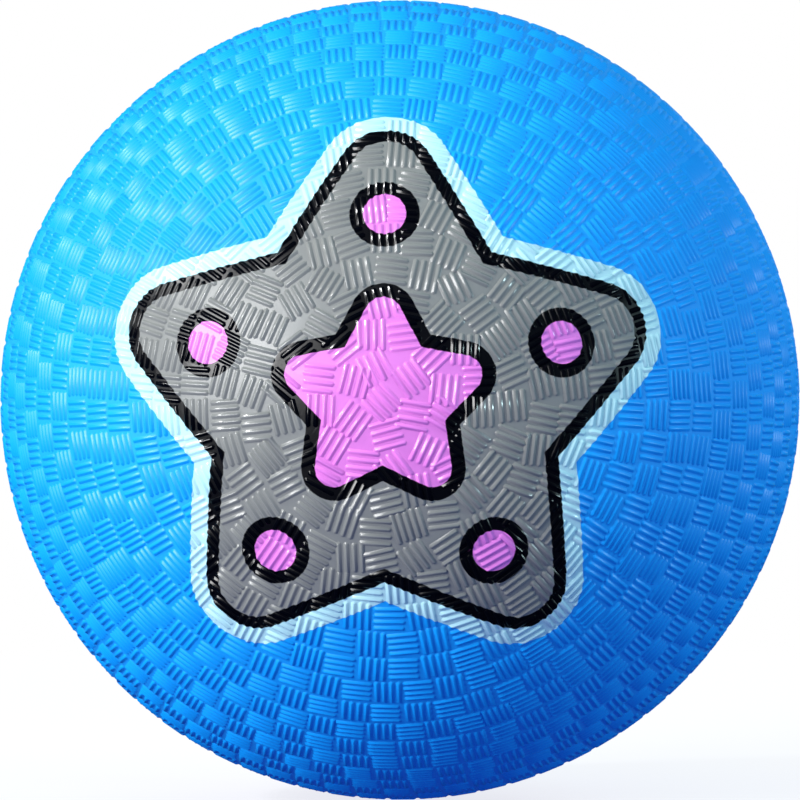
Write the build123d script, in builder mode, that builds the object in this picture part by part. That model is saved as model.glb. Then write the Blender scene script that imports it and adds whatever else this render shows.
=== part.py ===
"""A moulded rubber dodgeball: a cover in two halves over a bladder, with a needle valve at the back.

The frame is the ball's own. The origin is the ball's centre, +Z is up, the printed front faces -Y, and the
valve opens at the back, along +Y. Every piece is turned about the Y axis, apart from the lips of the plug.
Sizes are in millimetres and angles in degrees.
"""

import os
from math import isclose, sqrt

from build123d import *

# Wall of the ball, from the outside inwards
BALL_DIAMETER = 127.0  # five inch trade size, over the tops of the moulded ribs
COVER_WALL = 1.5  # vulcanised cover, ribs included
PARTING_CHAMFER = 0.25  # edge of each cover half, where the two halves of the mould met
BLADDER_WALL = 0.8
SPLICE_WIDTH = 8.0  # lap where the two sheets of the bladder are joined
SPLICE_THICKNESS = 0.4  # what the lap adds on the inside
LAYER_GAP = 0.05  # dusted or cemented joint between one layer and the next

# Plug of the needle valve, which sets the size of what surrounds it
NEEDLE_BORE_DIAMETER = 1.5  # stretches over a 2 mm inflation needle
FUNNEL_FLARE = 0.65  # how far the mouth of the bore widens on each side
FUNNEL_ANGLE = 90.0
PLUG_SHANK_DIAMETER = 4.4
PLUG_SHANK_LENGTH = 7.8  # from under the head to where the lips start
PLUG_HEAD_THICKNESS = 1.2
PLUG_HEAD_LEDGE = 0.5  # how far the head reaches over its seat
SEALING_RIDGES = 3
RIDGE_HEIGHT = 0.25
RIDGE_WIDTH = 0.8
LIP_LENGTH = 2.5  # duckbill that the air pressure holds shut
LIP_TIP_THICKNESS = 0.8
LIP_ROOT_WEB = 0.5  # rubber between the end of the bore and the start of the lips
SLIT_WIDTH = 0.15
SLIT_LENGTH = 3.0
SLIT_DEPTH = 0.6
PLUG_CLEARANCE = 0.05  # round the plug, which can be pulled out of its housing

# Housing of the valve and the layers that hold it
COLLAR_WALL = 1.0  # rubber round the head of the plug
FLOOR_THICKNESS = 0.8  # ledge at the inner end, which the plug can't pass
FLOOR_GAP = 0.2  # from the tip of the lips to that ledge
AIR_HOLE_DIAMETER = 3.0  # through the ledge
FLANGE_WIDTH = 5.0
FLANGE_THICKNESS = 1.0
FLANGE_FILLET = 0.8
PATCH_MARGIN = 4.0  # how far the patch reaches past the flange
PATCH_THICKNESS = 0.6
OPENING_CLEARANCE = 0.05  # round the collar, in each layer that it passes
DISH_MARGIN = 2.5  # smooth flat ring round the collar
DISH_STEP = 0.15  # how deep that ring is let into the cover
EDGE_BREAK = 0.15  # on the rims of the plug's head and of the collar

# Radii of the layers about the centre of the ball
cover_outer = BALL_DIAMETER / 2
cover_inner = cover_outer - COVER_WALL
bladder_outer = cover_inner - LAYER_GAP
bladder_inner = bladder_outer - BLADDER_WALL
splice_inner = bladder_inner - SPLICE_THICKNESS
patch_outer = bladder_inner - LAYER_GAP
patch_inner = patch_outer - PATCH_THICKNESS
flange_outer = patch_inner - LAYER_GAP
flange_inner = flange_outer - FLANGE_THICKNESS

# Radii about the axis of the valve
needle_bore = NEEDLE_BORE_DIAMETER / 2
plug_shank = PLUG_SHANK_DIAMETER / 2
plug_ridge = plug_shank + RIDGE_HEIGHT
housing_bore = plug_ridge + PLUG_CLEARANCE
plug_head = housing_bore + PLUG_HEAD_LEDGE
collar_bore = plug_head + PLUG_CLEARANCE
collar_outer = collar_bore + COLLAR_WALL
layer_opening = collar_outer + OPENING_CLEARANCE
dish_radius = layer_opening + DISH_MARGIN
flange_radius = collar_outer + FLANGE_WIDTH
patch_radius = flange_radius + PATCH_MARGIN

# Heights along the axis of the valve, from the centre of the ball
valve_face = sqrt(cover_outer**2 - dish_radius**2) - DISH_STEP
head_seat = valve_face - PLUG_HEAD_THICKNESS
lip_root = head_seat - PLUG_SHANK_LENGTH
lip_tip = lip_root - LIP_LENGTH
floor_top = lip_tip - FLOOR_GAP
housing_end = floor_top - FLOOR_THICKNESS
flange_root = sqrt(flange_inner**2 - collar_outer**2)
ridge_pitch = PLUG_SHANK_LENGTH / (SEALING_RIDGES + 1)
bore_depth = PLUG_HEAD_THICKNESS + PLUG_SHANK_LENGTH - LIP_ROOT_WEB
lip_slope = LIP_LENGTH / (plug_shank - LIP_TIP_THICKNESS / 2)

SAME_HEIGHT = 1e-6  # two heights that differ by less are one height

# Corners by which a section is placed against the Y axis
ABOVE = (Align.MIN, Align.MIN)
BELOW = (Align.MIN, Align.MAX)
ACROSS = (Align.MIN, Align.CENTER)


def draw_layer(outer, inner, width, height, align):
    """Draws the part of the ring between two circles that a rectangle at the Y axis holds."""
    Circle(outer)
    Circle(inner, mode=Mode.SUBTRACT)
    Rectangle(width, height, align=align, mode=Mode.INTERSECT)


def cut_axis(radius):
    """Cuts the upper end of a section back from the Y axis, to leave a round opening."""
    Rectangle(radius, BALL_DIAMETER, align=ABOVE, mode=Mode.SUBTRACT)


def rings_at(piece, height):
    """Finds the full circles round a turned piece at a height along its axis, the widest one last."""
    circles = piece.edges().filter_by(GeomType.CIRCLE).filter_by(lambda edge: edge.is_closed)
    rings = circles.filter_by(lambda edge: isclose(edge.arc_center.Y, height, abs_tol=SAME_HEIGHT))
    return rings.sort_by(SortBy.RADIUS)


# Front half of the cover, closed at its pole
with BuildPart() as cover_front:
    with BuildSketch(Plane.XY):
        draw_layer(cover_outer, cover_inner, cover_outer, cover_outer, BELOW)
    revolve(axis=Axis.Y)
    chamfer(rings_at(cover_front, 0)[-1], PARTING_CHAMFER)

# Back half of the cover, with a smooth dish round the opening for the valve
with BuildPart() as cover_back:
    with BuildSketch(Plane.XY):
        draw_layer(cover_outer, cover_inner, cover_outer, cover_outer, ABOVE)
        cut_axis(layer_opening)
        with Locations((0, valve_face)):
            Rectangle(dish_radius, COVER_WALL, align=ABOVE, mode=Mode.SUBTRACT)
    revolve(axis=Axis.Y)
    chamfer(rings_at(cover_back, 0)[-1], PARTING_CHAMFER)

# Bladder, airtight but for the opening that the valve fills, with the splice round its middle
with BuildPart() as bladder:
    with BuildSketch(Plane.XY):
        draw_layer(bladder_outer, bladder_inner, BALL_DIAMETER, BALL_DIAMETER, ACROSS)
        cut_axis(layer_opening)
    revolve(axis=Axis.Y)
    with BuildSketch(Plane.XY):
        draw_layer(bladder_outer, splice_inner, BALL_DIAMETER, SPLICE_WIDTH, ACROSS)
    revolve(axis=Axis.Y)

# Patch that spreads the load of the valve over the bladder
with BuildPart() as valve_patch:
    with BuildSketch(Plane.XY):
        draw_layer(patch_outer, patch_inner, patch_radius, BALL_DIAMETER, ABOVE)
        cut_axis(layer_opening)
    revolve(axis=Axis.Y)

# Housing: a flange on the patch, and a tube that reaches from the dish into the bladder
with BuildPart() as valve_housing:
    with BuildSketch(Plane.XY):
        draw_layer(flange_outer, flange_inner, flange_radius, BALL_DIAMETER, ABOVE)
        with Locations((0, housing_end)):
            Rectangle(collar_outer, valve_face - housing_end, align=ABOVE)
        with Locations((0, floor_top)):
            Rectangle(housing_bore, valve_face - floor_top, align=ABOVE, mode=Mode.SUBTRACT)
        with Locations((0, head_seat)):
            Rectangle(collar_bore, PLUG_HEAD_THICKNESS, align=ABOVE, mode=Mode.SUBTRACT)
        cut_axis(AIR_HOLE_DIAMETER / 2)
    revolve(axis=Axis.Y)
    fillet(rings_at(valve_housing, flange_root)[-1], FLANGE_FILLET)
    chamfer(rings_at(valve_housing, valve_face)[-1], EDGE_BREAK)

# Plug: head, ridged shank and closed lips, with a blind bore for the needle
with BuildPart() as valve_plug:
    with BuildSketch(Plane.XY):
        with Locations((0, head_seat)):
            Rectangle(plug_head, PLUG_HEAD_THICKNESS, align=ABOVE)
        with Locations((0, lip_tip)):
            Rectangle(plug_shank, head_seat - lip_tip, align=ABOVE)
        with Locations([(0, head_seat - step * ridge_pitch) for step in range(1, SEALING_RIDGES + 1)]):
            Rectangle(plug_ridge, RIDGE_WIDTH, align=ACROSS)
    revolve(axis=Axis.Y)
    chamfer(rings_at(valve_plug, valve_face)[-1], EDGE_BREAK)
    with BuildSketch(Plane.XY):
        with BuildLine():
            Polyline(
                (LIP_TIP_THICKNESS / 2, lip_tip),
                (plug_ridge, lip_root + RIDGE_HEIGHT * lip_slope),
                (plug_ridge, lip_tip),
                close=True,
            )
        make_face()
        mirror(about=Plane.YZ)
    extrude(amount=plug_ridge, both=True, mode=Mode.SUBTRACT)
    with BuildSketch(Plane.XZ.offset(-lip_tip)):
        Rectangle(SLIT_WIDTH, SLIT_LENGTH)
    extrude(amount=-SLIT_DEPTH, mode=Mode.SUBTRACT)
    with Locations(Plane((0, valve_face, 0), z_dir=(0, 1, 0))):
        CounterSinkHole(needle_bore, needle_bore + FUNNEL_FLARE, bore_depth, FUNNEL_ANGLE)

pieces = {
    "cover_front": cover_front,
    "cover_back": cover_back,
    "bladder": bladder,
    "valve_patch": valve_patch,
    "valve_housing": valve_housing,
    "valve_plug": valve_plug,
}
os.makedirs("parts", exist_ok=True)
for name, piece in pieces.items():
    piece.part.label = name
    export_step(piece.part, f"parts/{name}.step")
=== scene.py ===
"""Dresses the dodgeball: ribbed rubber cover with a printed star, bladder, needle valve and a pale studio.

The frame's sizes are in metres, with the ball's centre at the origin, +Z up, the printed front towards -Y
and the valve at the back, along +Y.
"""

import math
import random

import bpy
from bpy.props import FloatProperty, FloatVectorProperty, IntProperty, PointerProperty
from mathutils import Matrix, Vector


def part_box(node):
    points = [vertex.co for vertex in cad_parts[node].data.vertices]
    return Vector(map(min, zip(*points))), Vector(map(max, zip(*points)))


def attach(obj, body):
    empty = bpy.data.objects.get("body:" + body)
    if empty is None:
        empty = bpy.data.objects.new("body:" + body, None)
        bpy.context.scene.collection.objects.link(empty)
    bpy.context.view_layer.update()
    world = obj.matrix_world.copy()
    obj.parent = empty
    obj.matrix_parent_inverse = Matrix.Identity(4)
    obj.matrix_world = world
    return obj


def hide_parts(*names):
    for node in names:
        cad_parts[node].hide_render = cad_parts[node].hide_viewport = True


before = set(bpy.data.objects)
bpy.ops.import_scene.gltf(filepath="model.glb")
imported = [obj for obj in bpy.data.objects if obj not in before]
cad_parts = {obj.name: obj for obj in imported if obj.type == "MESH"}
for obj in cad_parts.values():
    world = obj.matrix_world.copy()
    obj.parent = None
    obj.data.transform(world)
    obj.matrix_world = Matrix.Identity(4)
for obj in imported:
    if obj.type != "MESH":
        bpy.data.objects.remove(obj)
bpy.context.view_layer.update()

bl_info = {
    "name": "Moulded dodgeball",
    "version": (1, 0, 0),
    "blender": (4, 5, 0),
    "location": "View3D > Sidebar > Dodgeball",
    "description": "Ribbed rubber playground ball with a printed star and a needle valve",
    "category": "Add Mesh",
}

MM = 0.001
FRONT = -1
BACK = 1
STAR_POINTS = 5
WHITE = (1.0, 1.0, 1.0)
ON_AXIS = 1e-9  # a point no farther from the valve's axis lies on it
MEASURES = ("LENGTH", "DISTANCE", "DOT_PRODUCT")  # vector operations that give a number

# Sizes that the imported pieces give
BALL_RADIUS = -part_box("cover_front")[0].y
COVER_INSIDE = min(point.co.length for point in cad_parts["cover_front"].data.vertices)
VALVE_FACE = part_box("valve_housing")[1].y
VALVE_OPENING = min(
    math.hypot(point.co.x, point.co.z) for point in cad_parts["cover_back"].data.vertices
)
DISH_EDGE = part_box("cover_back")[1].y
DISH_RADIUS = math.sqrt(BALL_RADIUS**2 - DISH_EDGE**2)

# Section of a half of the cover
PAD_WIDTH = 0.4 * MM  # smooth ring round the valve's dish, level with the outside of the ball
PAD_SLOPE = 0.25 * MM  # from that ring down to the ground between the ribs
BEAD_SECTION = ((0.8, 0.8), (0.3, 1.0), (0.0, 0.6))  # shares of the bead's half width and of its height
INSIDE_STEPS = 10

# Section of a rib from its root up: share of the height, share of the width, how far the ends draw in
RIB_SECTION = ((-1.4, 1.0, 0.0), (-0.05, 1.0, 0.0), (0.80, 0.28, 0.30 * MM))
RIB_POINT = 0.56  # length of a rib's pointed end, as a share of half the width
CREST_INSET = 0.45 * MM

# Layout of the patches of ribs
FRONT_SEED = 11
BACK_SEED = 24
RIB_SETS = 4  # two round a ring, times two from ring to ring
KEPT_WIDTH = 0.95  # a ring keeps its neighbour's count down to this share of the patch width
FRESH_WIDTH = 1.03  # share of the patch width for which a new count is worked out
POLE_TURN = 0.4  # of the patch at the pole, in radians
RING_PLAY = 0.5  # how far a ring is turned at random, in radians over its count of patches
LOOSE_START = math.radians(32)  # angle from the pole where patches begin to lie askew
LOOSE_FULL = math.radians(12)  # angle from the pole where they lie askew the most
LOOSE_BACK = 0.3  # looseness of the back half, to that of the front
EVEN_SKEW = math.radians(1.2)
LOOSE_SKEW = math.radians(17)  # what looseness adds to the skew
EVEN_SHIFT = 0.06 * MM
LOOSE_SHIFT = 0.28 * MM  # what looseness adds to the shift
LOOSE_PITCH = 0.07  # share that looseness adds to the pitch
FULLER_SHARE = 0.12  # share of the patches that have one rib more
FULLER_PITCH = 0.86  # pitch in those patches, to the usual one
POLE_STRETCH = 1.1  # length of ribs near the pole, to the usual one
RIM_STRETCH = 0.95  # the same towards the parting line
STRETCH_START = math.radians(28)
STRETCH_END = math.radians(65)
RIM_LIFT = 0.6  # height of ribs at the parting line, to the usual one
LIFT_START = math.radians(72)
LIFT_END = math.radians(86)
RIB_SHIFT = 0.05 * MM  # of one rib along its own direction
RIB_STRETCH = (0.96, 1.02)  # least and most for one rib

# Fusing and shading of the ribs
SET_TOLERANCE = 0.1
GROUND_TOLERANCE = 0.12 * MM  # points this near to the ground are laid on it
WELD_DISTANCE = 0.010 * MM
SHARP_ANGLE = math.radians(50)  # an edge that bends more is a crease anywhere
FOOT_ANGLE = math.radians(15)  # an edge at the foot of a rib that bends more is a crease
FOOT_TOLERANCE = 0.06 * MM

# Map for baking: radius and middle of the discs for the outside and the inside
OUTSIDE_DISC = (0.49, 0.5)
INSIDE_DISC = (0.085, 0.088)
FLUSH = 0.001 * MM  # a point this near to a flat or a bore lies on it
LINING = 0.05 * MM  # depth within which the faces of the inside lie

# Patterns, gloss and relief of the cover, with heights as shares of a rib's
MOTTLE_SIZE = 9 * MM
BLOOM_HEIGHTS = (0.5, 1.0)
BLOOM_SHARE = 0.08
RAGGED_SIZE = 1.4 * MM
RAGGED_REACH = 0.15 * MM  # how far the edge of the ink strays
INK_EDGE = 0.05 * MM  # half of the width in which the ink runs out
GLOSS_HEIGHTS = (0.1, 0.5)
RUBBER_ROUGHNESS = (0.56, 0.32)  # in the grooves and on the ribs
INK_ROUGHNESS = (0.26, 0.10)
GRAIN_SIZE = 0.35 * MM
GRAIN_ROUGHNESS = 0.10
GRAIN_RELIEF = 0.5  # height of the grain, to that of the ink
COVER_BUMP = 0.6
COVER_RELIEF = 0.03 * MM
COVER_SPECULAR = 0.45

# Patterns, gloss and relief of the inner rubber
FILM_LEVELS = (0.35, 0.75)  # noise at which the film sets in and is full
INNER_GRAIN_SIZE = 0.25 * MM
INNER_GRAIN_LEVELS = (0.3, 0.7)
INNER_GRAIN_ROUGHNESS = 0.06  # what the grain adds or takes
INNER_BUMP = 0.5
INNER_RELIEF = 0.02 * MM
INNER_SPECULAR = 0.4

# Floor, lights and camera, in metres apart from the sensor
FLOOR_HALF = 3.0
SHADOW_REACH = 0.45  # distance from the ball's centre at which the paper stops taking shadow
SHADOW_SHARE = 0.22
PAPER = (0.95, 0.95, 0.95)
KEY_PLACE = (-0.70, -0.75, 0.28)
SIDE_PLACE = (0.78, -0.26, 0.68)
GLINT_PLACE = (-0.87, -0.28, 0.60)
SIDE_GLINT_PLACE = (1.04, -0.14, 0.14)
BACK_PLACE = (0.45, 1.05, 0.35)
SOFTBOX_SIZE = 0.5
BACK_SOFTBOX_SIZE = 0.7
LAMP_SIZE = 0.1
SENSOR_WIDTH = 36.0  # millimetres


def linear(hex_colour):
    """Turns an sRGB hex colour to the linear values that shaders use."""
    channels = [int(hex_colour[at:at + 2], 16) / 255 for at in (1, 3, 5)]
    return tuple(c / 12.92 if c <= 0.04045 else ((c + 0.055) / 1.055) ** 2.4 for c in channels)


def length_property(name, description, millimetres):
    """Declares a length that the sidebar shows in scene units."""
    return FloatProperty(
        name=name, description=description, default=millimetres * MM, unit="LENGTH", precision=5
    )


def angle_property(name, description, degrees):
    """Declares an angle."""
    return FloatProperty(
        name=name, description=description, default=math.radians(degrees), subtype="ANGLE"
    )


def count_property(name, description, count):
    """Declares a whole number."""
    return IntProperty(name=name, description=description, default=count)


def power_property(name, description, watts):
    return FloatProperty(name=name, description=description, default=watts, unit="POWER")


def colour_property(name, description, hex_colour):
    """Declares a colour from its sRGB hex value."""
    return FloatVectorProperty(
        name=name, description=description, default=linear(hex_colour),
        subtype="COLOR", size=3, min=0, max=1,
    )


class CoverProperties(bpy.types.PropertyGroup):
    """Sizes of the moulded ribs and colours of the rubber."""

    rib_height: length_property("Rib height", "How far a rib stands above the ground of the cover", 0.27)
    rib_width: length_property("Rib width", "Width of a rib at its foot", 0.86)
    rib_length: length_property("Rib length", "Length of a rib", 4.60)
    rib_pitch: length_property("Rib pitch", "From one rib of a patch to the next", 1.11)
    ribs_in_patch: count_property("Ribs in a patch", "Ribs side by side in one patch", 4)
    patch_width: length_property("Patch width", "Room for one patch along its ring", 4.70)
    rings: count_property("Rings", "Rings of patches from the pole to the parting line", 20)
    pole_angle: angle_property("Pole angle", "Half angle of the patch at the pole", 2.3)
    bead_width: length_property("Bead half width", "Half of the raised line where the mould parted", 0.33)
    bead_height: length_property("Bead height", "Height of that line above the ground", 0.20)
    segments: count_property("Segments", "Faces round the cover", 64)
    rubber: colour_property("Rubber", "Blue of the moulded rubber", "#02a6f7")
    rubber_deep: colour_property("Deep rubber", "Blue where the mottle is darkest", "#029bf0")
    bloom: colour_property("Bloom", "Pale film on the tops of the ribs", "#38b8f5")


class PrintProperties(bpy.types.PropertyGroup):
    """Sizes of the printed star, measured over the curve of the ball, and its inks."""

    star_tip: length_property("Star tip", "From the middle to a tip of the star's skeleton", 36.0)
    star_notch: length_property("Star notch", "From the middle to a notch of the star's skeleton", 19.5)
    star_fill: length_property("Star fill", "How far the grey reaches past the skeleton", 5.5)
    inner_tip: length_property("Inner star tip", "From the middle to a tip of that star's skeleton", 12.5)
    inner_notch: length_property("Inner star notch", "From the middle to a notch of that skeleton", 6.5)
    inner_fill: length_property("Inner star fill", "How far the pink reaches past that skeleton", 2.8)
    dot_place: length_property("Dot place", "From the middle to the dot in each arm", 28.5)
    dot_radius: length_property("Dot radius", "Radius of the pink of a dot", 3.3)
    line_width: length_property("Line width", "Width of the black lines", 2.1)
    border_width: length_property("Border width", "Width of the pale band round the print", 2.9)
    grey_ink: colour_property("Grey ink", "Fill of the star", "#838580")
    pink_ink: colour_property("Pink ink", "Inner star and dots", "#e482d7")
    black_ink: colour_property("Black ink", "Outlines", "#020308")
    pale_ink: colour_property("Pale ink", "Band round the print", "#b8e6e9")


class ValveProperties(bpy.types.PropertyGroup):
    """Colours of the rubber pieces that the cover hides or holds."""

    housing: colour_property("Housing", "Moulded rubber of the valve's housing", "#1b1c1f")
    plug: colour_property("Plug", "Soft rubber of the needle plug", "#3a3c40")
    butyl: colour_property("Butyl", "Rubber of the bladder and its patch", "#1a1a1c")
    talc: colour_property("Talc", "Dusting powder on the inner pieces", "#b9b8b2")


class StageProperties(bpy.types.PropertyGroup):
    """Camera and light."""

    camera_turn: angle_property("Camera turn", "Azimuth of the camera", 2.28)
    camera_distance: length_property("Camera distance", "From the ball's centre", 762.0)
    camera_lens: FloatProperty(name="Lens", description="Focal length in millimetres", default=215.5)
    key_power: power_property("Key light", "Power of the softbox at the left", 13.5)
    side_power: power_property("Side light", "Power of the softbox at the right", 3.2)
    glint_power: power_property("Glint lamp", "Power of the bare lamp at the left", 4.6)
    side_glint_power: power_property("Side glint lamp", "Power of the bare lamp at the right", 2.4)
    back_power: power_property("Back light", "Power of the softbox behind", 7.0)
    bounce: colour_property("Bounce", "Light that the floor throws back at the ball", "#5a6ab8")
    room_level: FloatProperty(
        name="Room level", description="Level of the light from all round", default=0.52
    )
    mirror_level: FloatProperty(
        name="Mirror level", description="Level of the room in reflections", default=0.05
    )
    fill: colour_property("Fill", "Tint of the light from the room", "#c3deff")
    side_tint: colour_property("Side tint", "Tint of the two lights at the right", "#d8fbff")


def add_node(tree, kind, inputs=None, **settings):
    """Adds a node, sets its properties, and sets or links its inputs by name or number."""
    made = tree.nodes.new(kind)
    for name, value in settings.items():
        setattr(made, name, value)
    for key, value in (inputs or {}).items():
        if isinstance(value, bpy.types.NodeSocket):
            tree.links.new(value, made.inputs[key])
        else:
            made.inputs[key].default_value = value
    return made


def math_node(tree, operation, *values):
    """Adds a sum on numbers and returns its result."""
    return add_node(tree, "ShaderNodeMath", dict(enumerate(values)), operation=operation).outputs[0]


def vector_node(tree, operation, *vectors):
    """Adds a sum on vectors and returns its result."""
    made = add_node(tree, "ShaderNodeVectorMath", dict(enumerate(vectors)), operation=operation)
    return made.outputs["Value" if operation in MEASURES else "Vector"]


def scaled(tree, vector, size):
    """Adds the product of a vector and a number and returns it."""
    inputs = {0: vector, "Scale": size}
    return add_node(tree, "ShaderNodeVectorMath", inputs, operation="SCALE").outputs["Vector"]


def map_range(tree, value, source, target):
    """Adds a map from one range of numbers to another, held to its ends, and returns its result."""
    inputs = dict(enumerate((value, *source, *target)))
    return add_node(tree, "ShaderNodeMapRange", inputs).outputs[0]


def blend(tree, share, under, over):
    """Adds a mix of two colours and returns it. Sockets of a mix share names, so they go by number."""
    inputs = {0: share, 6: under, 7: over}
    return add_node(tree, "ShaderNodeMix", inputs, data_type="RGBA").outputs[2]


def noise(tree, place, size, detail):
    """Adds a cloudy pattern of a given size and returns its level."""
    inputs = {"Vector": place, "Scale": 1 / size, "Detail": detail}
    return add_node(tree, "ShaderNodeTexNoise", inputs).outputs[0]


def rgba(colour):
    """Gives a linear colour the alpha that colour sockets need."""
    return (*colour, 1.0)


def new_material(name):
    """Starts a material: returns it, its empty node tree and the object coordinates for its patterns."""
    material = bpy.data.materials.new(name)
    material.use_nodes = True
    material.node_tree.nodes.clear()
    place = add_node(material.node_tree, "ShaderNodeTexCoord").outputs["Object"]
    return material, material.node_tree, place


def finish_material(tree, inputs):
    """Ends a material in one Principled shader."""
    shader = add_node(tree, "ShaderNodeBsdfPrincipled", inputs)
    add_node(tree, "ShaderNodeOutputMaterial", {"Surface": shader.outputs["BSDF"]})


def make_object(name, mesh):
    """Puts a mesh into the scene at the origin."""
    made = bpy.data.objects.new(name, mesh)
    bpy.context.scene.collection.objects.link(made)
    return made


def fade(value, start, end):
    """Share of the way that a value has gone from a start to an end, held between 0 and 1."""
    return min(1.0, max(0.0, (value - start) / (end - start)))


def on_ball(side, angle, turn):
    """Unit direction, by the angle from a half's pole and the clockwise turn from the top."""
    return Vector((
        -side * math.sin(angle) * math.sin(turn),
        side * math.cos(angle),
        math.sin(angle) * math.cos(turn),
    ))


def ground_radius(cover):
    """Radius of the cover between its ribs, low enough to keep the ends of ribs inside the ball."""
    return BALL_RADIUS - cover.rib_height - (cover.rib_length / 2) ** 2 / (2 * BALL_RADIUS)


def ring_edges(cover):
    """Angles from the pole at which one ring of patches ends and the next begins."""
    last = math.pi / 2 - cover.bead_width / BALL_RADIUS
    step = (last - cover.pole_angle) / cover.rings
    return [cover.pole_angle + step * ring for ring in range(cover.rings + 1)]


def cover_profile(cover, side):
    """Section of one half as (distance from the axis, height towards the pole), from the outside in."""
    ground = ground_radius(cover)
    pad_edge = DISH_RADIUS + PAD_WIDTH
    pad_foot = pad_edge + PAD_SLOPE
    points = [(0.0, ground)]
    if side == BACK:
        points = [
            (VALVE_OPENING, VALVE_FACE),
            (DISH_RADIUS, VALVE_FACE),
            (DISH_RADIUS, DISH_EDGE),
            (pad_edge, math.sqrt(BALL_RADIUS**2 - pad_edge**2)),
            (pad_foot, math.sqrt(ground**2 - pad_foot**2)),
        ]
    for angle in ring_edges(cover):
        if ground * math.sin(angle) > points[-1][0]:
            points.append((ground * math.sin(angle), ground * math.cos(angle)))
    for height, rise in BEAD_SECTION:
        points.append((ground + cover.bead_height * rise, cover.bead_width * height))
    innermost = math.asin(VALVE_OPENING / COVER_INSIDE) if side == BACK else 0.0
    for step in range(INSIDE_STEPS + 1):
        angle = math.pi / 2 + (innermost - math.pi / 2) * step / INSIDE_STEPS
        points.append((COVER_INSIDE * math.sin(angle), COVER_INSIDE * math.cos(angle)))
    return points


def turned_mesh(name, profile, side, segments):
    """Turns a section about the valve's axis into a closed mesh. A point on the axis becomes one pole."""
    points = []
    rings = []
    for radius, height in profile:
        count = segments if radius > ON_AXIS else 1
        rings.append([len(points) + at for at in range(count)])
        for at in range(count):
            turn = 2 * math.pi * at / segments
            points.append((-side * radius * math.sin(turn), side * height, radius * math.cos(turn)))
    if len(rings[0]) > 1:
        rings.append(rings[0])
    faces = []
    for outer, inner in zip(rings, rings[1:]):
        for at in range(segments):
            ahead = (at + 1) % segments
            corners = (
                outer[at % len(outer)],
                outer[ahead % len(outer)],
                inner[ahead % len(inner)],
                inner[at % len(inner)],
            )
            faces.append(tuple(dict.fromkeys(corners)))
    mesh = bpy.data.meshes.new(name)
    mesh.from_pydata(points, [], faces)
    return mesh


def rib_blank(cover):
    """One rib along X: an upright root in the ground, even flanks and ends, and a soft two-point crest."""
    half_length = cover.rib_length / 2
    half_width = cover.rib_width / 2
    points = []
    for height, width, inset in RIB_SECTION:
        tip = half_length - inset
        corner = tip - RIB_POINT * half_width * width
        outline = ((-tip, 0), (-corner, -1), (corner, -1), (tip, 0), (corner, 1), (-corner, 1))
        points += [(x, y * half_width * width, height * cover.rib_height) for x, y in outline]
    sides = len(outline)
    left, near_left, near_right, right, far_right, far_left = range(len(points) - sides, len(points))
    crest_left = len(points)
    crest_right = crest_left + 1
    crest = half_length - CREST_INSET
    points += [(-crest, 0, cover.rib_height), (crest, 0, cover.rib_height)]
    faces = [tuple(reversed(range(sides)))]
    for ring in (0, sides):
        for at in range(sides):
            ahead = (at + 1) % sides
            faces.append((ring + at, ring + ahead, ring + ahead + sides, ring + at + sides))
    faces += [
        (near_left, near_right, crest_right, crest_left),
        (far_right, far_left, crest_left, crest_right),
        (left, near_left, crest_left),
        (far_left, left, crest_left),
        (near_right, right, crest_right),
        (right, far_right, crest_right),
    ]
    mesh = bpy.data.meshes.new("rib_blank")
    mesh.from_pydata(points, [], faces)
    return mesh


def ring_counts(cover, middles):
    """Patches in each ring.

    From the parting line inwards, rings keep a count while their patches stay near the nominal width, so
    that the patches of neighbouring rings interlock.
    """
    counts = []
    for angle in reversed(middles):
        way_round = 2 * math.pi * BALL_RADIUS * math.sin(angle)
        if not counts or way_round < KEPT_WIDTH * cover.patch_width * counts[-1]:
            counts.append(2 * round(way_round / (2 * FRESH_WIDTH * cover.patch_width)))
        else:
            counts.append(counts[-1])
    return counts[::-1]


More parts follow.
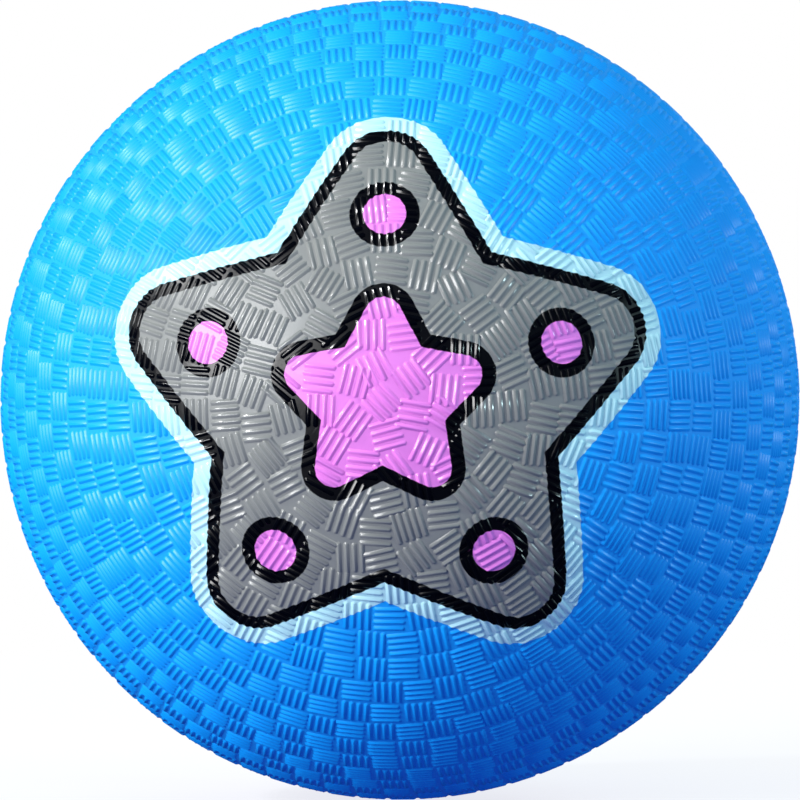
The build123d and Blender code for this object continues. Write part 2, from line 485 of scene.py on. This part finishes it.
def rib_places(cover, side, seed):
    """Places every rib of one half: its middle on the ground, direction, stretch, lift and set.

    Patches alternate round each ring between ribs along the ring and ribs across it, and interlock with
    those of the next ring while the two rings have as many. Towards the pole the patches were punched by
    eye, so they lie askew there. Towards the parting line the ribs are lower, so that the mould lets go.
    """
    draw = random.Random(seed)
    ground = ground_radius(cover)
    edges = ring_edges(cover)
    places = []

    def punch(angle, turn, along_ring, loose, set_number):
        outward = on_ball(side, angle, turn)
        ring_way = on_ball(side, math.pi / 2, turn + math.pi / 2)
        skew = draw.gauss(0, EVEN_SKEW + LOOSE_SKEW * loose) + (0 if along_ring else math.pi / 2)
        along = Matrix.Rotation(skew, 3, outward) @ ring_way
        across = along.cross(outward)
        shift = [draw.gauss(0, EVEN_SHIFT + LOOSE_SHIFT * loose) for _ in range(2)]
        middle = outward * ground + along * shift[0] + across * shift[1]
        count = cover.ribs_in_patch + (draw.random() < FULLER_SHARE)
        pitch = cover.rib_pitch * (1 + LOOSE_PITCH * loose)
        if count > cover.ribs_in_patch:
            pitch *= FULLER_PITCH
        shrink = (POLE_STRETCH - RIM_STRETCH) * fade(angle, STRETCH_START, STRETCH_END)
        lift = 1 - (1 - RIM_LIFT) * fade(angle, LIFT_START, LIFT_END)
        for rib in range(count):
            offset = (rib - (count - 1) / 2) * pitch
            place = middle + across * offset + along * draw.gauss(0, RIB_SHIFT)
            stretch = draw.uniform(*RIB_STRETCH) * (POLE_STRETCH - shrink)
            places.append((place.normalized() * ground, along, stretch, lift, set_number))

    if side == FRONT:
        punch(0.0, POLE_TURN, along_ring=True, loose=1.0, set_number=RIB_SETS - 1)
    middles = [(start + end) / 2 for start, end in zip(edges, edges[1:])]
    start_turn = 0.0
    count_before = 0
    for ring, (angle, count) in enumerate(zip(middles, ring_counts(cover, middles))):
        loose = fade(angle, LOOSE_START, LOOSE_FULL)
        if count != count_before:
            start_turn = draw.uniform(0, 2 * math.pi)
        count_before = count
        phase = start_turn + draw.uniform(-1, 1) * RING_PLAY / count
        if side == BACK:
            loose *= LOOSE_BACK
        if side == BACK and BALL_RADIUS * math.sin(edges[ring]) < DISH_RADIUS:
            continue
        for patch in range(count):
            set_number = 2 * (ring % 2) + patch % 2
            punch(angle, phase + 2 * math.pi * patch / count, (patch + ring) % 2 == 0, loose, set_number)
    return places


def rib_points(name, places):
    """A mesh with one point for each rib, which carries the rib's direction, stretch, lift and set."""
    points, ways, stretches, lifts, sets = zip(*places)
    mesh = bpy.data.meshes.new(name)
    mesh.from_pydata(points, [], [])
    along = mesh.attributes.new("rib_along", "FLOAT_VECTOR", "POINT")
    along.data.foreach_set("vector", [part for way in ways for part in way])
    mesh.attributes.new("rib_stretch", "FLOAT", "POINT").data.foreach_set("value", stretches)
    mesh.attributes.new("rib_lift", "FLOAT", "POINT").data.foreach_set("value", lifts)
    mesh.attributes.new("rib_set", "INT", "POINT").data.foreach_set("value", sets)
    return mesh


def rib_value(tree, name, kind):
    """Adds a node that reads what the rib points carry under a name, and returns it."""
    return add_node(tree, "GeometryNodeInputNamedAttribute", {"Name": name}, data_type=kind).outputs[0]


def compare(tree, operation, inputs):
    """Adds a comparison of two numbers and returns its result."""
    return add_node(tree, "FunctionNodeCompare", inputs, operation=operation).outputs[0]


def rib_tree():
    """Geometry nodes that set a rib on every point and fuse them all with the cover they stand on."""
    tree = bpy.data.node_groups.new("Moulded ribs", "GeometryNodeTree")
    for name, kind in (
        ("Cover", "NodeSocketGeometry"),
        ("Rib points", "NodeSocketObject"),
        ("Rib blank", "NodeSocketObject"),
        ("Ground radius", "NodeSocketFloat"),
        ("Ground tolerance", "NodeSocketFloat"),
        ("Weld distance", "NodeSocketFloat"),
        ("Sharp angle", "NodeSocketFloat"),
        ("Foot angle", "NodeSocketFloat"),
        ("Foot tolerance", "NodeSocketFloat"),
        ("Rubber", "NodeSocketMaterial"),
    ):
        tree.interface.new_socket(name, in_out="INPUT", socket_type=kind)
    tree.interface.new_socket("Cover", in_out="OUTPUT", socket_type="NodeSocketGeometry")
    given = add_node(tree, "NodeGroupInput").outputs

    points = add_node(tree, "GeometryNodeObjectInfo", {"Object": given["Rib points"]})
    blank = add_node(tree, "GeometryNodeObjectInfo", {"Object": given["Rib blank"], "As Instance": True})
    place = add_node(tree, "GeometryNodeInputPosition").outputs[0]
    along = rib_value(tree, "rib_along", "FLOAT_VECTOR")
    stand = add_node(tree, "FunctionNodeAxesToRotation", {0: place, 1: along})
    size = add_node(tree, "ShaderNodeCombineXYZ", {
        "X": rib_value(tree, "rib_stretch", "FLOAT"), "Y": 1.0, "Z": rib_value(tree, "rib_lift", "FLOAT"),
    })
    number = rib_value(tree, "rib_set", "INT")

    # Ribs of one set never touch each other, so each set can be fused as a single mesh
    fused = add_node(tree, "GeometryNodeMeshBoolean", operation="UNION", solver="MANIFOLD")
    tree.links.new(given["Cover"], fused.inputs["Mesh 2"])
    for rib_set in range(RIB_SETS):
        in_set = compare(tree, "EQUAL", {"A": number, "B": float(rib_set), "Epsilon": SET_TOLERANCE})
        ribs = add_node(tree, "GeometryNodeInstanceOnPoints", {
            "Points": points.outputs["Geometry"],
            "Selection": in_set,
            "Instance": blank.outputs["Geometry"],
            "Rotation": stand.outputs[0],
            "Scale": size.outputs[0],
        })
        solid = add_node(tree, "GeometryNodeRealizeInstances", {"Geometry": ribs.outputs[0]})
        tree.links.new(solid.outputs[0], fused.inputs["Mesh 2"])

    # Points of the ground's flat faces go out to its true radius, and points that all but meet are joined
    distance = vector_node(tree, "LENGTH", place)
    is_ground = compare(tree, "EQUAL", {
        "A": distance, "B": given["Ground radius"], "Epsilon": given["Ground tolerance"],
    })
    rounded = scaled(tree, vector_node(tree, "NORMALIZE", place), given["Ground radius"])
    smooth_ground = add_node(tree, "GeometryNodeSetPosition", {
        "Geometry": fused.outputs["Mesh"], "Selection": is_ground, "Position": rounded,
    })
    welded = add_node(tree, "GeometryNodeMergeByDistance", {
        "Geometry": smooth_ground.outputs[0], "Distance": given["Weld distance"],
    })

    # Smooth shading, with creases at sharp edges and round the feet of the ribs
    soft = add_node(tree, "GeometryNodeSetShadeSmooth", {
        "Geometry": welded.outputs[0], "Shade Smooth": True,
    })
    bend = add_node(tree, "GeometryNodeInputMeshEdgeAngle").outputs["Unsigned Angle"]
    is_sharp = compare(tree, "GREATER_THAN", {"A": bend, "B": given["Sharp angle"]})
    is_bent = compare(tree, "GREATER_THAN", {"A": bend, "B": given["Foot angle"]})
    is_low = compare(tree, "EQUAL", {
        "A": distance, "B": given["Ground radius"], "Epsilon": given["Foot tolerance"],
    })
    is_foot = add_node(tree, "FunctionNodeBooleanMath", {0: is_bent, 1: is_low}, operation="AND")
    is_crease = add_node(tree, "FunctionNodeBooleanMath", {
        0: is_sharp, 1: is_foot.outputs[0],
    }, operation="OR")
    creased = add_node(tree, "GeometryNodeSetShadeSmooth", {
        "Geometry": soft.outputs[0], "Selection": is_crease.outputs[0], "Shade Smooth": False,
    }, domain="EDGE")
    real = add_node(tree, "GeometryNodeRealizeInstances", {"Geometry": creased.outputs[0]})
    painted = add_node(tree, "GeometryNodeSetMaterial", {
        "Geometry": real.outputs[0], "Material": given["Rubber"],
    })
    add_node(tree, "NodeGroupOutput", {"Cover": painted.outputs[0]})
    return tree


def evaluate_cover(shell, tree, values):
    """Runs the rib tree on a shell and leaves the result in it as a plain mesh."""
    modifier = shell.modifiers.new("Moulded ribs", "NODES")
    modifier.node_group = tree
    for item in tree.interface.items_tree:
        if item.in_out == "INPUT" and item.name in values:
            modifier[item.identifier] = values[item.name]
    shell.update_tag()
    graph = bpy.context.evaluated_depsgraph_get()
    mesh = bpy.data.meshes.new_from_object(shell.evaluated_get(graph), depsgraph=graph)
    shell.modifiers.remove(modifier)
    bare = shell.data
    shell.data = mesh
    bpy.data.meshes.remove(bare)
    mesh.name = shell.name


def bake_map(half, side):
    """Lays the outside of a half out as a disc round its pole, with the inside small in one corner."""
    mesh = half.data
    layer = mesh.uv_layers.new(name="OFBake")
    widest = BALL_RADIUS * math.pi / 2 + (BALL_RADIUS - COVER_INSIDE)
    rim = max(point.co.length for point in mesh.vertices if abs(point.co.y) < FLUSH)
    for face in mesh.polygons:
        is_inside = face.normal.dot(face.center) < 0 and face.center.length < COVER_INSIDE + LINING
        scale, middle = INSIDE_DISC if is_inside else OUTSIDE_DISC
        for corner in face.loop_indices:
            place = mesh.vertices[mesh.loops[corner].vertex_index].co
            from_axis = math.hypot(place.x, place.z)
            reach = BALL_RADIUS * math.atan2(from_axis, side * place.y)
            if abs(place.y) < FLUSH:
                reach += rim - place.length
            elif side == BACK and from_axis < VALVE_OPENING + FLUSH:
                reach -= VALVE_FACE - place.y
            ray = scale * reach / widest / max(from_axis, ON_AXIS)
            layer.data[corner].uv = (middle - side * ray * place.x, middle + ray * place.z)


def arm_point(tree, place, wobble):
    """Place in the print, folded into half an arm of the star: X runs along the arm, Y to its side."""
    parts = add_node(tree, "ShaderNodeSeparateXYZ", {0: place}).outputs
    from_axis = vector_node(tree, "LENGTH", vector_node(tree, "MULTIPLY", place, (1, 0, 1)))
    depth = math_node(tree, "MULTIPLY", parts["Y"], -1.0)
    angle = math_node(tree, "ARCTAN2", from_axis, depth)
    arc = math_node(tree, "MULTIPLY", angle, BALL_RADIUS)
    reach = math_node(tree, "ADD", arc, wobble)
    turn = math_node(tree, "ARCTAN2", parts["X"], parts["Z"])
    fold = math_node(tree, "PINGPONG", turn, math.pi / STAR_POINTS)
    way = add_node(tree, "ShaderNodeCombineXYZ", {
        "X": math_node(tree, "COSINE", fold), "Y": math_node(tree, "SINE", fold),
    })
    return scaled(tree, way.outputs[0], reach)


def star_distance(tree, point, tip, notch):
    """Distance from the outline of a star to a folded point, negative inside."""
    fold = math.pi / STAR_POINTS
    edge = Vector((notch * math.cos(fold) - tip, notch * math.sin(fold), 0))
    from_tip = vector_node(tree, "SUBTRACT", point, (tip, 0, 0))
    share = vector_node(tree, "DOT_PRODUCT", from_tip, edge / edge.length_squared)
    held = add_node(tree, "ShaderNodeClamp", {"Value": share})
    nearest = scaled(tree, edge, held.outputs[0])
    gap = vector_node(tree, "DISTANCE", from_tip, nearest)
    outward = vector_node(tree, "DOT_PRODUCT", from_tip, (edge.y, -edge.x, 0))
    return math_node(tree, "MULTIPLY", gap, math_node(tree, "SIGN", outward))


def cover_material(cover, design):
    """Vulcanised rubber under screen ink: mottled satin blue, paler on rubbed ribs, with glossier ink."""
    material, tree, place = new_material("Vulcanised rubber with screen ink")
    mottle = noise(tree, place, MOTTLE_SIZE, detail=3.0)
    rubber = blend(tree, mottle, rgba(cover.rubber), rgba(cover.rubber_deep))
    ground = ground_radius(cover)
    distance = vector_node(tree, "LENGTH", place)
    height = map_range(tree, distance, (ground, ground + cover.rib_height), (0.0, 1.0))
    bloom = map_range(tree, height, BLOOM_HEIGHTS, (0.0, BLOOM_SHARE))
    colour = blend(tree, bloom, rubber, rgba(cover.bloom))

    ragged = noise(tree, place, RAGGED_SIZE, detail=2.0)
    wobble = map_range(tree, ragged, (0.0, 1.0), (-RAGGED_REACH, RAGGED_REACH))
    point = arm_point(tree, place, wobble)
    star = star_distance(tree, point, design.star_tip, design.star_notch)
    inner_star = star_distance(tree, point, design.inner_tip, design.inner_notch)
    dot = vector_node(tree, "DISTANCE", point, (design.dot_place, 0, 0))
    star_line = design.star_fill + design.line_width
    layers = (
        (star, star_line + design.border_width, design.pale_ink),
        (star, star_line, design.black_ink),
        (star, design.star_fill, design.grey_ink),
        (inner_star, design.inner_fill + design.line_width, design.black_ink),
        (inner_star, design.inner_fill, design.pink_ink),
        (dot, design.dot_radius + design.line_width, design.black_ink),
        (dot, design.dot_radius, design.pink_ink),
    )
    shares = []
    for gap, edge, ink in layers:
        shares.append(map_range(tree, gap, (edge - INK_EDGE, edge + INK_EDGE), (1.0, 0.0)))
        colour = blend(tree, shares[-1], colour, rgba(ink))

    # The first layer of ink is the widest, so it tells where the print is
    inked = shares[0]
    grain = noise(tree, place, GRAIN_SIZE, detail=2.0)
    dull = map_range(tree, height, GLOSS_HEIGHTS, RUBBER_ROUGHNESS)
    gloss = map_range(tree, height, GLOSS_HEIGHTS, INK_ROUGHNESS)
    even = add_node(tree, "ShaderNodeMix", {0: inked, 2: dull, 3: gloss})
    raised = math_node(tree, "MULTIPLY_ADD", grain, GRAIN_RELIEF, inked)
    bump = add_node(tree, "ShaderNodeBump", {
        "Strength": COVER_BUMP, "Distance": COVER_RELIEF, "Height": raised,
    })
    finish_material(tree, {
        "Base Color": colour,
        "Roughness": math_node(tree, "MULTIPLY_ADD", grain, GRAIN_ROUGHNESS, even.outputs[0]),
        "Specular IOR Level": COVER_SPECULAR,
        "Normal": bump.outputs[0],
    })
    return material


def inner_rubber(name, base, film, film_size, film_share, roughness):
    """Moulded rubber that wears a patchy film of dust or talc, with a fine grain in the light."""
    material, tree, place = new_material(name)
    cloud = noise(tree, place, film_size, detail=5.0)
    share = map_range(tree, cloud, FILM_LEVELS, (0.0, film_share))
    grain = noise(tree, place, INNER_GRAIN_SIZE, detail=3.0)
    smoothest = roughness - INNER_GRAIN_ROUGHNESS
    roughest = roughness + INNER_GRAIN_ROUGHNESS
    bump = add_node(tree, "ShaderNodeBump", {
        "Strength": INNER_BUMP, "Distance": INNER_RELIEF, "Height": grain,
    })
    finish_material(tree, {
        "Base Color": blend(tree, share, rgba(base), rgba(film)),
        "Roughness": map_range(tree, grain, INNER_GRAIN_LEVELS, (smoothest, roughest)),
        "Specular IOR Level": INNER_SPECULAR,
        "Normal": bump.outputs[0],
    })
    return material


def wear(node, material):
    """Gives a carried-over piece its material."""
    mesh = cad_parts[node].data
    mesh.materials.clear()
    mesh.materials.append(material)


class DODGEBALL_OT_cover(bpy.types.Operator):
    """Builds the two ribbed halves of the cover, with the print on the front"""

    bl_idname = "dodgeball.build_cover"
    bl_label = "Build cover"

    def execute(self, context):
        cover = context.scene.dodgeball_cover
        rubber = cover_material(cover, context.scene.dodgeball_print)
        tree = rib_tree()
        blank = make_object("rib_blank", rib_blank(cover))
        for name, side, seed in (("cover_front", FRONT, FRONT_SEED), ("cover_back", BACK, BACK_SEED)):
            shell = turned_mesh(name, cover_profile(cover, side), side, cover.segments)
            half = make_object(f"{name}_ribbed", shell)
            points = make_object(f"{name}_ribs", rib_points(name, rib_places(cover, side, seed)))
            evaluate_cover(half, tree, {
                "Rib points": points,
                "Rib blank": blank,
                "Ground radius": ground_radius(cover),
                "Ground tolerance": GROUND_TOLERANCE,
                "Weld distance": WELD_DISTANCE,
                "Sharp angle": SHARP_ANGLE,
                "Foot angle": FOOT_ANGLE,
                "Foot tolerance": FOOT_TOLERANCE,
                "Rubber": rubber,
            })
            bpy.data.objects.remove(points)
            bake_map(half, side)
            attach(half, "ball")
            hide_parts(name)
        bpy.data.objects.remove(blank)
        return {"FINISHED"}


class DODGEBALL_OT_valve(bpy.types.Operator):
    """Dresses the valve's housing and its needle plug"""

    bl_idname = "dodgeball.dress_valve"
    bl_label = "Dress valve"

    def execute(self, context):
        colours = context.scene.dodgeball_valve
        wear("valve_housing", inner_rubber(
            "Black moulded rubber", colours.housing, colours.talc,
            film_size=1.2 * MM, film_share=0.10, roughness=0.5,
        ))
        wear("valve_plug", inner_rubber(
            "Soft grey rubber", colours.plug, colours.talc,
            film_size=0.9 * MM, film_share=0.08, roughness=0.42,
        ))
        return {"FINISHED"}


class DODGEBALL_OT_bladder(bpy.types.Operator):
    """Dresses the bladder and the patch round the valve"""

    bl_idname = "dodgeball.dress_bladder"
    bl_label = "Dress bladder"

    def execute(self, context):
        colours = context.scene.dodgeball_valve
        wear("bladder", inner_rubber(
            "Talced butyl", colours.butyl, colours.talc,
            film_size=6 * MM, film_share=0.45, roughness=0.75,
        ))
        wear("valve_patch", inner_rubber(
            "Buffed butyl", colours.butyl, colours.talc,
            film_size=2 * MM, film_share=0.20, roughness=0.85,
        ))
        return {"FINISHED"}


def floor_material(stage):
    """Paper that the camera sees as white, while it keeps the ball's shadow and throws a glow back up."""
    material, tree, place = new_material("White paper")
    ray = add_node(tree, "ShaderNodeLightPath").outputs
    seen = math_node(tree, "MAXIMUM", ray["Is Camera Ray"], ray["Is Transmission Ray"])
    glow = add_node(tree, "ShaderNodeEmission", {
        "Color": blend(tree, seen, rgba(stage.bounce), rgba(WHITE)),
        "Strength": map_range(tree, ray["Is Glossy Ray"], (0.0, 1.0), (1.0, stage.mirror_level)),
    })
    paper = add_node(tree, "ShaderNodeBsdfDiffuse", {"Color": rgba(PAPER)})
    distance = vector_node(tree, "LENGTH", place)
    near = map_range(tree, distance, (BALL_RADIUS, SHADOW_REACH), (SHADOW_SHARE, 0.0))
    share = math_node(tree, "MULTIPLY", seen, near)
    mixed = add_node(tree, "ShaderNodeMixShader", {0: share, 1: glow.outputs[0], 2: paper.outputs[0]})
    add_node(tree, "ShaderNodeOutputMaterial", {"Surface": mixed.outputs[0]})
    return material


def studio_world(stage):
    """White to the camera, a softly lit room to the ball, and darker in what the satin rubber mirrors."""
    world = bpy.data.worlds.new("Studio")
    world.use_nodes = True
    tree = world.node_tree
    tree.nodes.clear()
    ray = add_node(tree, "ShaderNodeLightPath").outputs
    seen = math_node(tree, "MAXIMUM", ray["Is Camera Ray"], ray["Is Transmission Ray"])
    level = map_range(tree, ray["Is Glossy Ray"], (0.0, 1.0), (stage.room_level, stage.mirror_level))
    sky = add_node(tree, "ShaderNodeBackground", {
        "Color": blend(tree, seen, rgba(stage.fill), rgba(WHITE)),
        "Strength": math_node(tree, "MAXIMUM", seen, level),
    })
    add_node(tree, "ShaderNodeOutputWorld", {"Surface": sky.outputs[0]})
    return world


def softbox(name, place, size, power, tint):
    """Adds a square area light that faces the ball and that the camera doesn't see."""
    lamp = bpy.data.lights.new(name, "AREA")
    lamp.size = size
    lamp.energy = power
    lamp.color = tint
    made = bpy.data.objects.new(name, lamp)
    made.location = place
    made.rotation_euler = (-Vector(place)).to_track_quat("-Z", "Y").to_euler()
    made.visible_camera = False
    bpy.context.scene.collection.objects.link(made)
    return made


class DODGEBALL_OT_stage(bpy.types.Operator):
    """Sets the floor, the light and the camera"""

    bl_idname = "dodgeball.build_stage"
    bl_label = "Build stage"

    def execute(self, context):
        scene = context.scene
        stage = scene.dodgeball_stage
        half = FLOOR_HALF
        paper = bpy.data.meshes.new("floor")
        corners = ((-half, -half), (half, -half), (half, half), (-half, half))
        paper.from_pydata([(x, y, -BALL_RADIUS) for x, y in corners], [], [(0, 1, 2, 3)])
        paper.materials.append(floor_material(stage))
        make_object("floor", paper)
        scene.world = studio_world(stage)
        softbox("key_softbox", KEY_PLACE, SOFTBOX_SIZE, stage.key_power, WHITE)
        side = softbox("side_softbox", SIDE_PLACE, SOFTBOX_SIZE, stage.side_power, stage.side_tint)
        side.visible_glossy = False
        softbox("glint_lamp", GLINT_PLACE, LAMP_SIZE, stage.glint_power, WHITE)
        softbox("side_glint_lamp", SIDE_GLINT_PLACE, LAMP_SIZE, stage.side_glint_power, stage.side_tint)
        behind = softbox("back_softbox", BACK_PLACE, BACK_SOFTBOX_SIZE, stage.back_power, WHITE)
        behind.visible_glossy = False
        lens = bpy.data.cameras.new("camera")
        lens.lens = stage.camera_lens
        lens.sensor_width = SENSOR_WIDTH
        camera = bpy.data.objects.new("camera", lens)
        turn = stage.camera_turn
        camera.location = Vector((math.sin(turn), -math.cos(turn), 0)) * stage.camera_distance
        camera.rotation_euler = (math.pi / 2, 0, turn)
        scene.collection.objects.link(camera)
        scene.camera = camera
        scene.view_settings.view_transform = "Standard"
        return {"FINISHED"}


class DODGEBALL_PT_panel(bpy.types.Panel):
    """Sizes, colours and build steps of the dodgeball"""

    bl_idname = "DODGEBALL_PT_panel"
    bl_label = "Dodgeball"
    bl_space_type = "VIEW_3D"
    bl_region_type = "UI"
    bl_category = "Dodgeball"

    def draw(self, context):
        for group, operators in PANEL_ROWS:
            settings = getattr(context.scene, group)
            box = self.layout.box()
            for name in settings.bl_rna.properties.keys():
                if name not in ("rna_type", "name"):
                    box.prop(settings, name)
            for operator in operators:
                box.operator(operator)


PANEL_ROWS = (
    ("dodgeball_cover", ()),
    ("dodgeball_print", ("dodgeball.build_cover",)),
    ("dodgeball_valve", ("dodgeball.dress_valve", "dodgeball.dress_bladder")),
    ("dodgeball_stage", ("dodgeball.build_stage",)),
)
GROUPS = {
    "dodgeball_cover": CoverProperties,
    "dodgeball_print": PrintProperties,
    "dodgeball_valve": ValveProperties,
    "dodgeball_stage": StageProperties,
}
CLASSES = (
    *GROUPS.values(),
    DODGEBALL_OT_cover,
    DODGEBALL_OT_valve,
    DODGEBALL_OT_bladder,
    DODGEBALL_OT_stage,
    DODGEBALL_PT_panel,
)


def register():
    """Makes the operators, the panel and the settings known to Blender."""
    for entry in CLASSES:
        bpy.utils.register_class(entry)
    for name, group in GROUPS.items():
        setattr(bpy.types.Scene, name, PointerProperty(type=group))


def unregister():
    """Takes them away again."""
    for name in GROUPS:
        delattr(bpy.types.Scene, name)
    for entry in reversed(CLASSES):
        bpy.utils.unregister_class(entry)


def main():
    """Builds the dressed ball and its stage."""
    register()
    bpy.ops.dodgeball.build_cover()
    bpy.ops.dodgeball.dress_valve()
    bpy.ops.dodgeball.dress_bladder()
    bpy.ops.dodgeball.build_stage()


if __name__ == "__main__":
    main()
